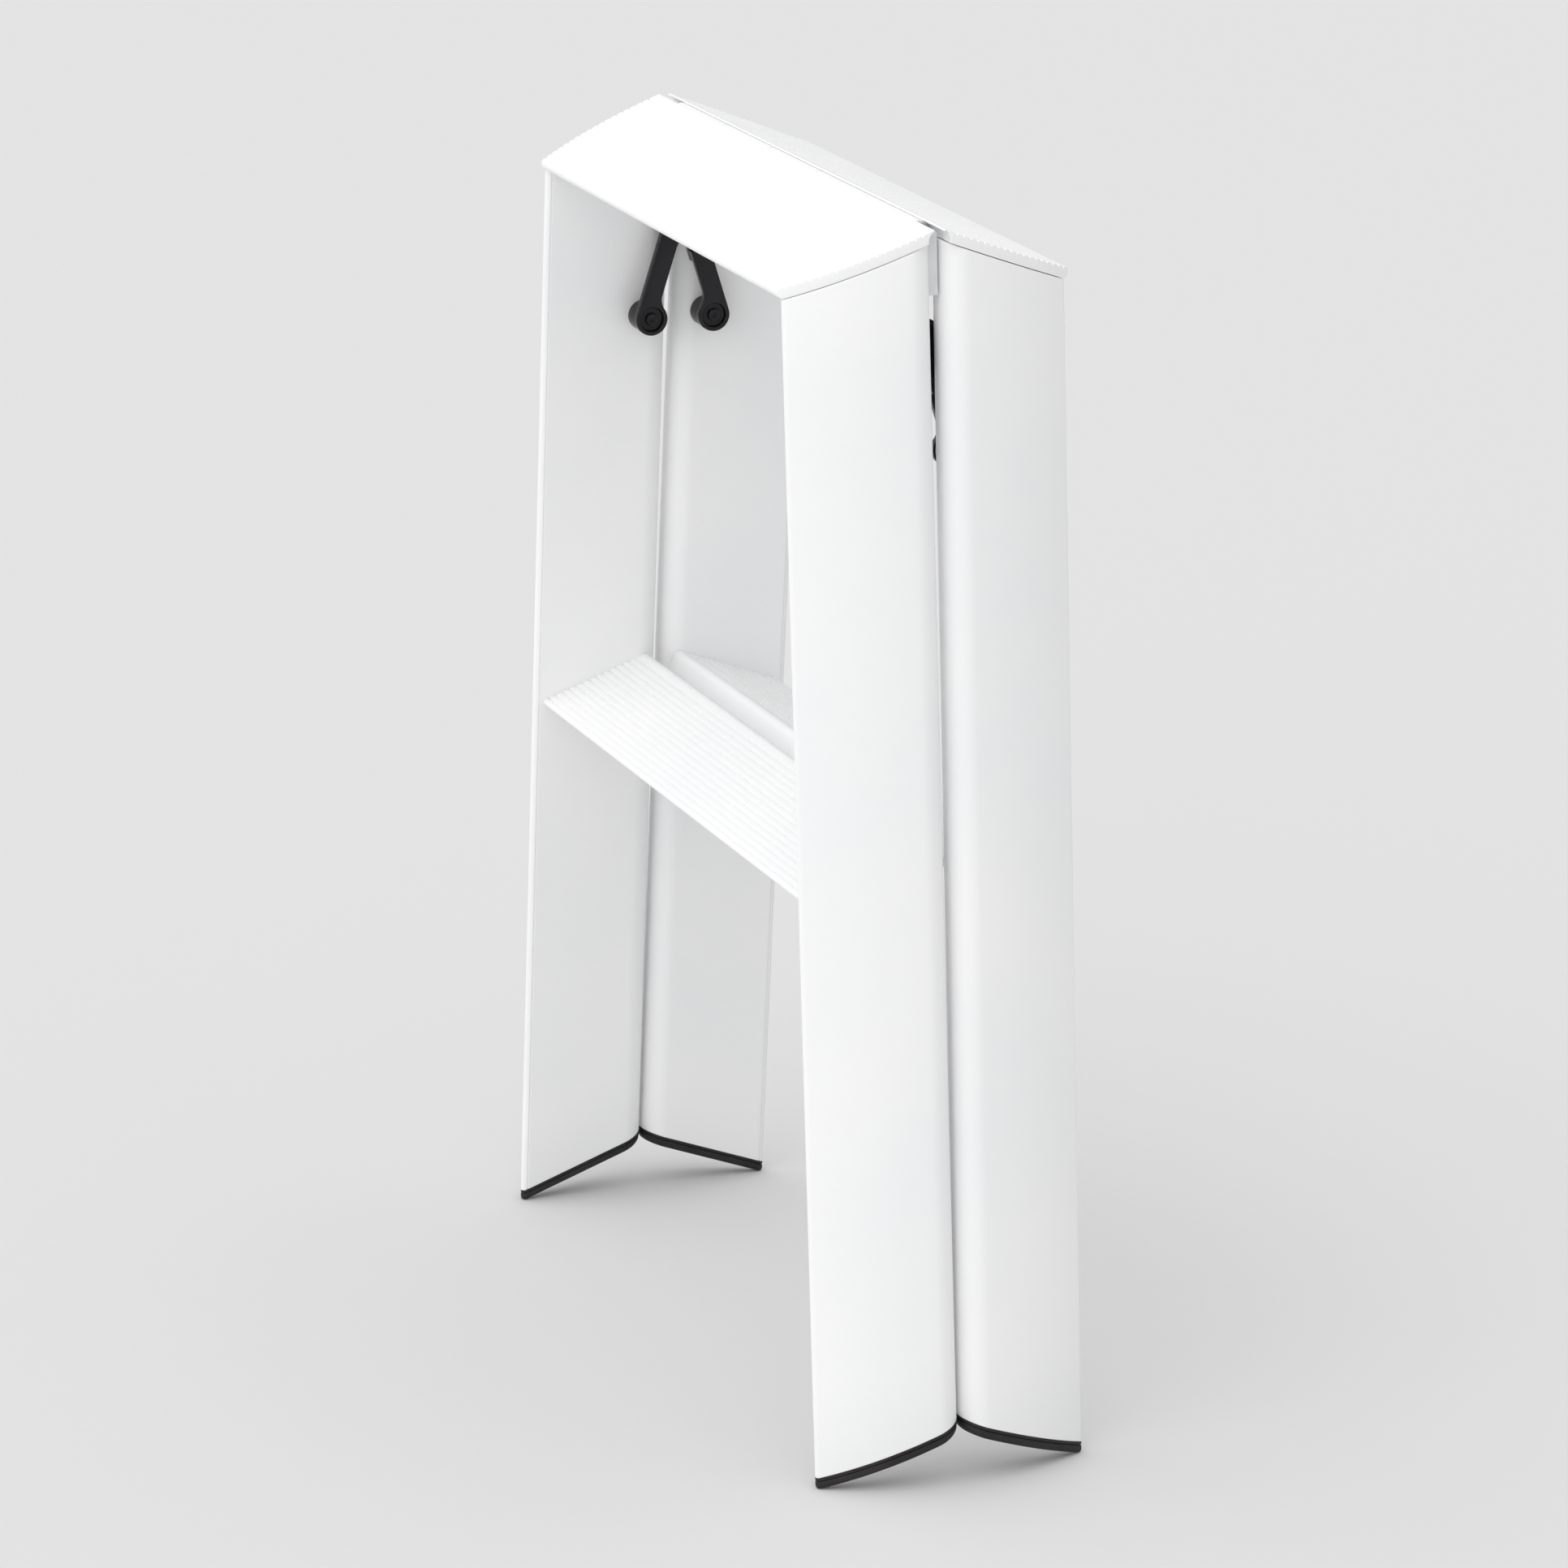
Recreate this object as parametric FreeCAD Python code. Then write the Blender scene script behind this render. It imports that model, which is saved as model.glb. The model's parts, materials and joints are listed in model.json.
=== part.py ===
import FreeCAD, Part
import math
import os

os.makedirs("parts", exist_ok=True)
V = FreeCAD.Vector

# A folding two-step stool. Two mirror-image frames hang from one hinge line
# along X and swing apart on it. The pose drawn is the folded one: the legs
# stand upright, so the treads, steps and soles slope down from the hinge
# side by LEG_SLANT_DEG; swinging each frame out by that angle levels them.
# Millimetres, +Z up, X across the stool, front frame on the -Y side.

# Overall sizes
TREAD_HEIGHT = 558.5        # floor to top tread, stool open
STEP_HEIGHT = 275.0         # floor to middle step, stool open
FOOT_INNER_WIDTH = 443.0    # between the side panels at the floor
TOP_INNER_WIDTH = 332.0     # between the side panels at the hinge line
LEG_SLANT_DEG = 20.5        # leg to the upright when open
FOLD_LEAN_DEG = 0.17        # extra swing that brings the folded feet together
LEG_GAP = 4.6               # between the two frames' panel edges at the top

# Side panel extrusion: flat inside, bowed outside, thick at the hinge edge
PANEL_WIDTH = 71.0
PANEL_THICK = 25.5
EDGE_RADIUS = 3.0           # nose of the thin outer edge
HINGE_EDGE_SHARE = 0.47     # radius of the hinge edge's corners, of the thickness
PANEL_WALL = 2.2
WEB_POS = 34.0              # inner web, measured from the hinge edge
CHAMBER_NOSE = 1.4          # round end of the outer chamber
SEAM_DEPTH = 0.5            # shallow line along the inside of the nose
SEAM_WIDTH = 0.7
SEAM_SHIFT = 0.3            # past the start of the nose

# Top tread extrusion
TREAD_OVER_AXIS = 6.5       # rib crests above the hinge axis
PLATE_THICK = 5.5
PLATE_OVERHANG = 1.5        # past the panel's outer edge
RIB_PITCH = 4.0
RIB_DEPTH = 0.8
RIB_FLANK = 0.4
RIB_SHARE = 0.7             # crest and first flank, as a share of the pitch
RIB_START = 4.0             # first rib from the hinge axis
STIFF_DEPTH = 7.0
STIFF_THICK = 2.5
STIFF_HALF = 136.0
STIFF_PLACES = (34.0, 66.0)
EDGE_CHAMFER = 0.5

# Middle step extrusion
STEP_SETBACK = 4.8          # lip behind the panel's outer edge
STEP_INNER_SETBACK = 6.9    # nose behind the panel's hinge edge
STEP_THICK = 12.5
STEP_LIP = 3.2
STEP_WALL = 2.0
STEP_NOSE = 4.0
STEP_LIP_WIDTH = 10.0       # thin lip beyond the box section
STEP_TAPER = 4.0
STEP_HEEL = 2.0             # chamfer under the nose
STEP_WEBS = (-13.0, 8.0)    # inner webs from the step's middle

# Hinge
BARREL_RADIUS = 5.4
ROD_RADIUS = 2.5
ROD_CLEAR = 0.06            # rear knuckle bore on the rod, radial
SCOOP_CLEAR = 0.3           # tread edge round the barrel
EDGE_TO_EDGE = 0.35         # half the gap between the open treads
KNUCKLE_GAP = 0.6
BARREL_INSET = 0.8          # barrel end inside the side panel
RAIL_THICK = 2.6
RAIL_WIDTH = 30.0
RAIL_CLEAR = 0.8            # rail flange off the other frame's knuckles
CAP_LENGTH = 2.0
CAP_UNDERSIZE = 0.9
NOTCH_CLEAR = 0.4           # tread's set-back over the panels, past the cap
RAIL_SCREW_PLACES = (0.3, 0.76)  # shares of the rail's half length

# Rubber foot
SOLE_THICK = 6.0
FOOT_GROOVE = 0.7
GROOVE_TOP = 1.1            # below the panel's end
GROOVE_BOTTOM = 1.9
PLUG_LENGTH = 14.0
PLUG_CLEAR = 0.15
STAND_FLAT = 1.3            # sole corner cut level for standing folded

# Locking links
HUB_HALF_GAP = 17.5         # hub centre to the mid plane, folded
HUB_DROP = 108.8            # hub centre below the hinge axis
ARM_LENGTH = 58.0
ARM_THICK = 4.3
ARM_WIDTH = 10.5
ARM_FILLET = 9.0
HUB_RADIUS = 8.7
BASE_RADIUS = 8.2           # spacer disc under the hub ring
BOSS_RADIUS = 12.0
STUD_RADIUS = 5.0
STUD_TIP_RADIUS = 3.1
STUD_TIP_DROP = 0.4         # tip below the ring's face
RECESS_RADIUS = 6.5
RECESS_DEPTH = 2.4
WASHER_THICK = 1.0
WASHER_CLEAR = 0.3          # washer in the recess, radial
ARM_BORE_CLEAR = 0.05
AXIAL_CLEAR = 0.25
ARM_AIR = 0.9               # nearer boss to the leaning panel, at the middle joint
PIN_RADIUS = 2.5
PIN_HEAD_RADIUS = 5.2
PIN_HEAD = 1.6
SLOT_CLEAR = 1.5
ARM_LAP = 0.4               # between the two bosses of a side
CRANK_START = 31.0          # along the rear arm, where it steps towards the panel
CRANK_END = 37.0
STUD_ROOT = 6.0             # stud through the panel's wall

# Brackets, screws and rivets
BRACKET_THICK = 2.5
BRACKET_LEG = 12.0          # short, so the tread's lip hides it
BRACKET_REACH = 24.0
BRACKET_WIDTH = 24.0
BRACKET_POS = 20.5          # bracket's middle from the hinge edge
BRACKET_END_CLEAR = 1.0
STEP_BRACKET_WIDTH = 14.0   # the step's brackets sit inside its box
STEP_BRACKET_CLEAR = 0.2
RIVET_RADIUS = 1.6
RIVET_HEAD_RADIUS = 2.3
RIVET_HEAD = 1.2
SCREW_RADIUS = 2.0
SCREW_HEAD_RADIUS = 3.8
SCREW_HEAD = 2.2
SCREW_CLEAR = 0.1
SCREW_PLACE = 0.62          # along a bracket leg
PLATE_BITE = 3.4            # screw into the tread
WALL_PROUD = 4.0            # screw or rivet past the panel's wall

# Pads between the panel edges
PAD_THICK = 3.7
PAD_SEAT = 1.5              # fitted over the round of the edge
PAD_WIDTH = 10.0
PAD_TOP = 3.0               # above the hinge axis
PAD_LENGTH = 30.0

# Cutting shapes run well past the stool
FAR = 450.0
BEYOND = 30.0

slant = math.radians(LEG_SLANT_DEG)
lean = math.radians(FOLD_LEAN_DEG)
sole_bottom = TREAD_OVER_AXIS - TREAD_HEIGHT
panel_bottom = sole_bottom + SOLE_THICK
panel_top = TREAD_OVER_AXIS - PLATE_THICK
step_top = sole_bottom + STEP_HEIGHT
edge_y = LEG_GAP / 2
outer_y = edge_y + PANEL_WIDTH
corner_drop = outer_y * math.tan(slant) - sole_bottom / math.cos(slant)
axis_z = corner_drop * math.cos(lean) + outer_y * math.sin(lean) - STAND_FLAT
flare = (FOOT_INNER_WIDTH - TOP_INNER_WIDTH) / 2 / axis_z
AXIS = V(0, 0, axis_z)


def inner_x(z):
    """Half the clear width between the side panels at height z."""
    return FOOT_INNER_WIDTH / 2 - flare * z


def leg_point(s, n):
    """(y, z) of the point s outward and n above the hinge axis, measured
    along and across the tread, in the front frame with upright legs."""
    y = -s * math.cos(slant) - n * math.sin(slant)
    z = axis_z - s * math.sin(slant) + n * math.cos(slant)
    return y, z


def run_out(y, n):
    """Distance s along the tread at which the plane n crosses depth y."""
    return (-y - n * math.sin(slant)) / math.cos(slant)


def prism(points, x0, x1):
    """Straight prism along X with a polygonal (y, z) outline."""
    wire = Part.makePolygon([V(x0, y, z) for y, z in points + points[:1]])
    return Part.Face(wire).extrude(V(x1 - x0, 0, 0))


def layer(n0, n1):
    """Slab between two planes parallel to the tread."""
    ends = [(-FAR, n0), (FAR, n0), (FAR, n1), (-FAR, n1)]
    return prism([leg_point(s, n) for s, n in ends], -FAR, FAR)


def to_leg(shape):
    """Turn a shape drawn with level treads to the upright-leg position."""
    turned = shape.copy()
    turned.rotate(AXIS, V(1, 0, 0), LEG_SLANT_DEG)
    return turned


def settle(shape):
    """Swing an upright-leg shape into the folded position."""
    turned = shape.copy()
    turned.rotate(AXIS, V(1, 0, 0), FOLD_LEAN_DEG)
    return turned


def to_left(shape):
    return shape.mirror(V(0, 0, 0), V(1, 0, 0))


def to_rear(shape):
    return shape.mirror(V(0, 0, 0), V(0, 1, 0))


def pair(shape):
    """The shape on the right and its mirror image on the left."""
    return Part.makeCompound([shape, to_left(shape)])


def save(name, shape):
    shape.exportStep("parts/" + name + ".step")


def save_both(name, shape):
    """Write one frame's node for the front and, mirrored, for the rear."""
    placed = settle(shape)
    save(name + "_front", placed)
    save(name + "_rear", to_rear(placed))


def save_four(name, shape):
    """Write a right-hand node of the front frame and its three mirrors."""
    placed = settle(shape)
    save(name + "_front_right", placed)
    save(name + "_front_left", to_left(placed))
    save(name + "_rear_right", to_rear(placed))
    save(name + "_rear_left", to_rear(to_left(placed)))


def rod(start, direction, radius, length):
    return Part.makeCylinder(radius, length, start, direction)


def headed(seat, direction, length, radius, head_radius, head):
    """Shank and flat head; seat is the face under the head."""
    back = V(direction).multiply(-head)
    top = rod(seat.add(back), direction, head_radius, head)
    return top.fuse(rod(seat, direction, radius, length)).removeSplitter()


def screw(seat, direction, length):
    return headed(seat, direction, length, SCREW_RADIUS, SCREW_HEAD_RADIUS, SCREW_HEAD)


def rivet(seat, direction, length):
    return headed(seat, direction, length, RIVET_RADIUS, RIVET_HEAD_RADIUS, RIVET_HEAD)


# ---------------------------------------------------------------- side panel
# The outer surface is one arc, square to the hinge edge at its crown and
# running tangent into the round nose of the thin edge.
hinge_radius = HINGE_EDGE_SHARE * PANEL_THICK
nose_u = PANEL_WIDTH - EDGE_RADIUS
rise = PANEL_THICK - EDGE_RADIUS
arc_radius = (nose_u ** 2 + rise ** 2 - EDGE_RADIUS ** 2) / (2 * (rise - EDGE_RADIUS))
arc_centre = PANEL_THICK - arc_radius


def section_point(p, u, z=0.0):
    """Point p outward from the inner face and u from the hinge edge."""
    return V(inner_x(z) + p, -(edge_y + u), z)


def arc_point(centre, radius, angle):
    p = centre[0] + radius * math.cos(angle)
    return section_point(p, centre[1] + radius * math.sin(angle))


def arc(centre, radius, first, last):
    middle = (first + last) / 2
    ends = [arc_point(centre, radius, a) for a in (first, middle, last)]
    return Part.Arc(*ends).toShape()


def panel_section(inset, nose):
    """Closed section of the panel, every face moved inwards by inset."""
    radius = arc_radius - inset
    corner = hinge_radius - inset
    low = inset + corner
    nose_p = inset + nose
    nose_at = math.sqrt((radius - nose) ** 2 - (nose_p - arc_centre) ** 2)
    tip = math.atan2(nose_at, nose_p - arc_centre)
    crown = math.asin(low / (radius - corner))
    corner_p = arc_centre + (radius - corner) * math.cos(crown)
    main = (arc_centre, 0.0)
    inner = Part.makeLine(section_point(inset, low), section_point(inset, nose_at))
    hinge = Part.makeLine(section_point(corner_p, inset), section_point(low, inset))
    parts = [
        inner,
        arc((nose_p, nose_at), nose, math.pi, tip),
        arc(main, radius, tip, crown),
        arc((corner_p, low), corner, crown, -math.pi / 2),
        hinge,
        arc((low, low), corner, -math.pi / 2, -math.pi),
    ]
    return Part.Face(Part.Wire(Part.__sortEdges__(parts)))


def column(face):
    """Run a floor-level section up the flare of the right-hand panel."""
    height = axis_z + 2 * BEYOND
    lower = face.copy()
    lower.translate(V(flare * BEYOND, 0, -BEYOND))
    return lower.extrude(V(-flare * height, 0, height))


def plan_box(p0, p1, u0, u1):
    corners = [(p0, u0), (p1, u0), (p1, u1), (p0, u1), (p0, u0)]
    return Part.Face(Part.makePolygon([section_point(p, u) for p, u in corners]))


def chambers(inset, web):
    """The two hollows of the panel, either side of the inner web."""
    hollow = panel_section(inset, CHAMBER_NOSE)
    strip = plan_box(-BEYOND, PANEL_THICK + BEYOND, WEB_POS - web, WEB_POS + web)
    return hollow.cut(strip)


seam_u = nose_u + SEAM_SHIFT
seam = plan_box(-1, SEAM_DEPTH, seam_u - SEAM_WIDTH / 2, seam_u + SEAM_WIDTH / 2)
profile = panel_section(0, EDGE_RADIUS).cut(chambers(PANEL_WALL, PANEL_WALL / 2))
panel = column(profile).common(layer(panel_bottom, panel_top)).cut(column(seam))

# ------------------------------------------------------------------ brackets
step_in = run_out(-edge_y, step_top) + STEP_INNER_SETBACK
step_out = run_out(-outer_y, step_top) - STEP_SETBACK
step_base = step_top - STEP_THICK


def angle_bracket(middle_u, width, flat_layer, wall_layer):
    """Angle with one leg along the tread or step and one on the panel."""
    u0 = middle_u - width / 2
    u1 = middle_u + width / 2
    flat = column(plan_box(-BRACKET_REACH, 0, u0, u1)).common(flat_layer)
    wall = column(plan_box(-BRACKET_THICK, 0, u0, u1)).common(wall_layer)
    return flat.fuse(wall).removeSplitter()


up = V(0, -math.sin(slant), math.cos(slant))
outward = V(1, 0, flare).normalize()


def flat_seat(u, n, inboard):
    """Point in the plane n, inboard of the panel's inner face."""
    y = -(edge_y + u)
    z = leg_point(run_out(y, n), n)[1]
    return V(inner_x(z) - inboard, y, z)


def bracket_seats(under, middle_u, width, wall_n):
    """Seats under the flat leg and on the wall leg, two of each."""
    spread = (middle_u - width / 4, middle_u + width / 4)
    flat = [flat_seat(u, under, BRACKET_REACH * SCREW_PLACE) for u in spread]
    wall = [flat_seat(u, wall_n, BRACKET_THICK) for u in spread]
    return flat, wall


# Under the tread: screws up into the tread and out through the panel's wall
leg_under = panel_top - BRACKET_THICK
leg_drop = panel_top - BRACKET_LEG * SCREW_PLACE
wall_reach = BRACKET_THICK + PANEL_WALL + WALL_PROUD
top_bracket = angle_bracket(BRACKET_POS, BRACKET_WIDTH, layer(leg_under, panel_top),
                            layer(panel_top - BRACKET_LEG, panel_top))
flats, walls = bracket_seats(leg_under, BRACKET_POS, BRACKET_WIDTH, leg_drop)
top_seats = [(seat, up, BRACKET_THICK + PLATE_BITE) for seat in flats]
top_seats += [(seat, outward, wall_reach) for seat in walls]

# Inside the step's box: riveted to the panel first, then the step is slid
# over it and screwed to it from below
step_floor = step_base + STEP_WALL
box_height = STEP_THICK - 2 * STEP_WALL - RIB_DEPTH - STEP_BRACKET_CLEAR
rivet_n = step_floor + (BRACKET_THICK + box_height) / 2
web_s = (step_in + step_out + sum(STEP_WEBS)) / 2
step_u = -leg_point(web_s, step_floor + box_height / 2)[0] - edge_y
step_bracket = angle_bracket(step_u, STEP_BRACKET_WIDTH,
                             layer(step_floor, step_floor + BRACKET_THICK),
                             layer(step_floor, step_floor + box_height))
flats, walls = bracket_seats(step_base, step_u, STEP_BRACKET_WIDTH, rivet_n)
step_seats = [(seat, up, STEP_WALL + BRACKET_THICK) for seat in flats]
rivet_seats = [(seat, outward, wall_reach) for seat in walls]


def holes(seats, radius):
    """Clearance holes for the shanks on those seats."""
    return Part.makeCompound([rod(seat, way, radius + SCREW_CLEAR, length) for seat, way, length in seats])


top_holes = holes(top_seats, SCREW_RADIUS)
step_holes = holes(step_seats, SCREW_RADIUS)
rivet_holes = holes(rivet_seats, RIVET_RADIUS)
top_screws = [screw(*seat) for seat in top_seats]
step_screws = [screw(*seat) for seat in step_seats]
step_rivets = [rivet(*seat) for seat in rivet_seats]
top_bracket = top_bracket.cut(top_holes)
step_bracket = step_bracket.cut(step_holes).cut(rivet_holes)
panel = panel.cut(top_holes).cut(rivet_holes)

# ------------------------------------------------------------------ top tread


def rib_points(s0, s1, crest):
    """Outline of the ribbed face between s0 and s1, in (s, n)."""
    count = max(1, int((s1 - s0) / RIB_PITCH))
    pitch = (s1 - s0) / count
    points = []
    for i in range(count):
        start = s0 + i * pitch
        points.append((start + RIB_FLANK, crest))
        points.append((start + pitch * RIB_SHARE, crest))
        points.append((start + pitch * RIB_SHARE + RIB_FLANK, crest - RIB_DEPTH))
        points.append((start + pitch, crest - RIB_DEPTH))
    points.append((s1 + RIB_FLANK, crest))
    return points


def level_point(s, n, x):
    return V(x, -s, axis_z + n)


def level_prism(points, x0, x1):
    """Extrude an (s, n) outline along X, drawn with the treads level."""
    path = [level_point(s, n, x0) for s, n in points]
    face = Part.Face(Part.makePolygon(path + path[:1]))
    return face.extrude(V(x1 - x0, 0, 0))


def outer_trim():
    """Everything outside the right panel's bowed face, run up the flare."""
    far = PANEL_WIDTH + 2 * EDGE_RADIUS
    end = math.asin(far / arc_radius)
    bow = arc((arc_centre, 0.0), arc_radius, 0, end)
    p_end = arc_centre + arc_radius * math.cos(end)
    corners = [(p_end, far), (p_end + FAR, far), (p_end + FAR, -BEYOND)]
    corners += [(PANEL_THICK, -BEYOND), (PANEL_THICK, 0)]
    path = [section_point(p, u) for p, u in corners]
    edges = [Part.makeLine(a, b) for a, b in zip(path[:-1], path[1:])]
    return column(Part.Face(Part.Wire([bow] + edges)))


def inner_trim():
    """Everything from the right panel's inner face outwards."""
    return column(plan_box(0, FAR, -BEYOND, PANEL_WIDTH + BEYOND))


plate_out = run_out(-outer_y, panel_top) + PLATE_OVERHANG
scoop = BARREL_RADIUS + SCOOP_CLEAR
lip_radius = PLATE_THICK / 2
lip_s = plate_out - lip_radius
edge_top = TREAD_OVER_AXIS - EDGE_CHAMFER
plate_outline = [(lip_s, panel_top), (0.4 * scoop, panel_top)]
plate_outline += [(EDGE_TO_EDGE, edge_top - 1.0), (EDGE_TO_EDGE, edge_top)]
plate_outline += [(EDGE_TO_EDGE + EDGE_CHAMFER, TREAD_OVER_AXIS)]
plate_outline += rib_points(RIB_START, lip_s - 1.5 * RIB_FLANK, TREAD_OVER_AXIS)
plate_outline.append((lip_s, TREAD_OVER_AXIS))
half = inner_x(axis_z) + PANEL_THICK + BEYOND
plate = level_prism(plate_outline, -half, half)
nose_centre = level_point(lip_s, TREAD_OVER_AXIS - lip_radius, -half)
plate = plate.fuse(rod(nose_centre, V(1, 0, 0), lip_radius, 2 * half))
plate = plate.cut(rod(V(-half, 0, axis_z), V(1, 0, 0), scoop, 2 * half))
for stiff_s in STIFF_PLACES:
    stiff_end = stiff_s + STIFF_THICK
    stiff_foot = panel_top - STIFF_DEPTH
    bar = [(stiff_s, panel_top + 1), (stiff_end, panel_top + 1)]
    bar += [(stiff_end, stiff_foot), (stiff_s, stiff_foot)]
    plate = plate.fuse(level_prism(bar, -STIFF_HALF, STIFF_HALF))
plate = to_leg(plate.removeSplitter())
trim = outer_trim()
plate = plate.cut(trim).cut(to_left(trim))
cap_end = inner_x(axis_z) - BARREL_INSET + CAP_LENGTH
notch = Part.makeBox(FAR, FAR + outer_y, 2 * FAR, V(cap_end + NOTCH_CLEAR, -edge_y, 0))
plate = plate.cut(notch).cut(to_left(notch))
plate = plate.cut(top_holes).cut(to_left(top_holes))

# --------------------------------------------------------------------- hinge
barrel_half = inner_x(axis_z) - BARREL_INSET
span = 2 * barrel_half / 5
flange_half = inner_x(axis_z) - BRACKET_REACH - BRACKET_END_CLEAR
rail_start = BARREL_RADIUS + RAIL_CLEAR
rail_screw_s = (rail_start + RAIL_WIDTH) / 2 + 3


def hinge_rail(knuckles, bore):
    """Rail under the tread with its share of the five knuckles."""
    base = panel_top - RAIL_THICK
    flange = [(rail_start, panel_top), (RAIL_WIDTH, panel_top)]
    flange += [(RAIL_WIDTH, base), (rail_start, base)]
    rail = level_prism(flange, -flange_half, flange_half)
    for index in knuckles:
        x0 = -barrel_half + index * span
        x1 = x0 + span
        if index > 0:
            x0 += KNUCKLE_GAP / 2
        if index < 4:
            x1 -= KNUCKLE_GAP / 2
        barrel = rod(V(x0, 0, axis_z), V(1, 0, 0), BARREL_RADIUS, x1 - x0)
        web = [(1.0, panel_top), (rail_start + 1, panel_top)]
        web += [(rail_start + 1, base), (1.0, base)]
        rail = rail.fuse(barrel).fuse(level_prism(web, x0, x1))
    rail = rail.removeSplitter()
    rail = rail.cut(rod(V(-half, 0, axis_z), V(1, 0, 0), bore, 2 * half))
    return to_leg(rail)


rail_seats = []
for place in RAIL_SCREW_PLACES:
    y, z = leg_point(rail_screw_s, panel_top - RAIL_THICK)
    for x in (-place * flange_half, place * flange_half):
        rail_seats.append((V(x, y, z), up, RAIL_THICK + PLATE_BITE))
rail_holes = holes(rail_seats, SCREW_RADIUS)
rail_screws = Part.makeCompound([screw(*seat) for seat in rail_seats])
plate = plate.cut(rail_holes)
rail_front = hinge_rail((0, 2, 4), ROD_RADIUS).cut(rail_holes)
rail_rear = hinge_rail((1, 3), ROD_RADIUS + ROD_CLEAR).cut(rail_holes)
hinge_rod = rod(V(-barrel_half, 0, axis_z), V(1, 0, 0), ROD_RADIUS, 2 * barrel_half)
rod_cap = rod(V(barrel_half, 0, axis_z), V(1, 0, 0), BARREL_RADIUS - CAP_UNDERSIZE, CAP_LENGTH)

# --------------------------------------------------------------- middle step
lip = STEP_LIP / 2
lip_root = step_out - STEP_LIP_WIDTH
step_outline = [(step_out - lip, step_top - STEP_LIP), (lip_root, step_top - STEP_LIP)]
step_outline += [(lip_root - STEP_TAPER, step_base), (step_in + STEP_HEEL, step_base)]
step_outline += [(step_in, step_base + STEP_HEEL), (step_in, step_top - STEP_NOSE)]
for i in range(1, 7):
    turn = i * math.pi / 12
    rise_n = step_top - STEP_NOSE * (1 - math.sin(turn))
    step_outline.append((step_in + STEP_NOSE * (1 - math.cos(turn)), rise_n))
rib_end = step_out - lip - 3 * RIB_FLANK
step_outline += rib_points(step_in + STEP_NOSE + 1, rib_end, step_top)
step_outline.append((step_out - lip, step_top))
half_step = inner_x(0)
step = level_prism(step_outline, -half_step, half_step)
lip_centre = level_point(step_out - lip, step_top - lip, -half_step)
step = step.fuse(rod(lip_centre, V(1, 0, 0), lip, 2 * half_step))
floor_n = step_base + STEP_WALL
ceiling_n = step_top - STEP_WALL - RIB_DEPTH
middle_s = (step_in + step_out) / 2
walls = [step_in + STEP_WALL]
walls += [middle_s + place for place in STEP_WEBS]
walls.append(lip_root - STEP_TAPER - 1.5)
for first, last in zip(walls[:-1], walls[1:]):
    near = first + STEP_WALL / 2
    hollow = [(near, floor_n), (last - STEP_WALL / 2, floor_n)]
    hollow += [(last - STEP_WALL / 2, ceiling_n), (near, ceiling_n)]
    if first == walls[0]:
        hollow[3] = (near + STEP_HEEL, ceiling_n)
        hollow.append((near, ceiling_n - STEP_HEEL))
    step = step.cut(level_prism(hollow, -half_step, half_step))
step = to_leg(step.removeSplitter())
trim = inner_trim()
step = step.cut(trim).cut(to_left(trim))
step = step.cut(step_holes).cut(to_left(step_holes))

# --------------------------------------------------------------- rubber feet
sole = column(panel_section(0, EDGE_RADIUS))
tread_part = sole.common(layer(sole_bottom, panel_bottom - GROOVE_BOTTOM))
waist = column(panel_section(FOOT_GROOVE, EDGE_RADIUS - FOOT_GROOVE))
waist = waist.common(layer(panel_bottom - GROOVE_BOTTOM, panel_bottom - GROOVE_TOP))
rim = sole.common(layer(panel_bottom - GROOVE_TOP, panel_bottom))
plug = column(chambers(PANEL_WALL + PLUG_CLEAR, PANEL_WALL / 2 + PLUG_CLEAR))
plug = plug.common(layer(panel_bottom, panel_bottom + PLUG_LENGTH))
foot = tread_part.fuse([waist, rim, plug]).removeSplitter()
floor_box = Part.makeBox(2 * FAR, 2 * FAR, FAR, V(-FAR, -FAR, -FAR))

# -------------------------------------------------------------- locking links
# The two bosses of a side lap at the middle joint, so they have their own
# depths in from the panel; the panels lean in, so the nearer one stands off by
# that lean. Both hub rings lie at the farther depth and the rear arm is
# cranked down to the nearer one.
hub_x = inner_x(axis_z - HUB_DROP)
arm_rise = math.sqrt(ARM_LENGTH ** 2 - HUB_HALF_GAP ** 2)
near_plane = ARM_AIR + flare * arm_rise
near_end = near_plane + ARM_THICK
far_plane = near_end + ARM_LAP
far_end = far_plane + ARM_THICK
recess_floor = far_end - RECESS_DEPTH
washer_under = recess_floor + AXIAL_CLEAR


def upright(y, z):
    """Undo the fold swing: folded (y, z) to the upright-leg drawing."""
    dz = z - axis_z
    back_y = y * math.cos(lean) + dz * math.sin(lean)
    back_z = dz * math.cos(lean) - y * math.sin(lean)
    return back_y, axis_z + back_z


hub_y, hub_z = upright(-HUB_HALF_GAP, axis_z - HUB_DROP)
joint_y, joint_z = upright(0, axis_z - HUB_DROP + arm_rise)
along = V(0, joint_y - hub_y, joint_z - hub_z).normalize()
across = V(0, along.z, -along.y)


def link_cylinder(depth0, depth1, radius, y, z):
    """Cylinder along X between two depths in from the panel at the hub."""
    return rod(V(hub_x - depth0, y, z), V(-1, 0, 0), radius, depth1 - depth0)


def hub_cylinder(depth0, depth1, radius):
    return link_cylinder(depth0, depth1, radius, hub_y, hub_z)


def boss_cylinder(depth0, depth1, radius):
    return link_cylinder(depth0, depth1, radius, joint_y, joint_z)


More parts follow.
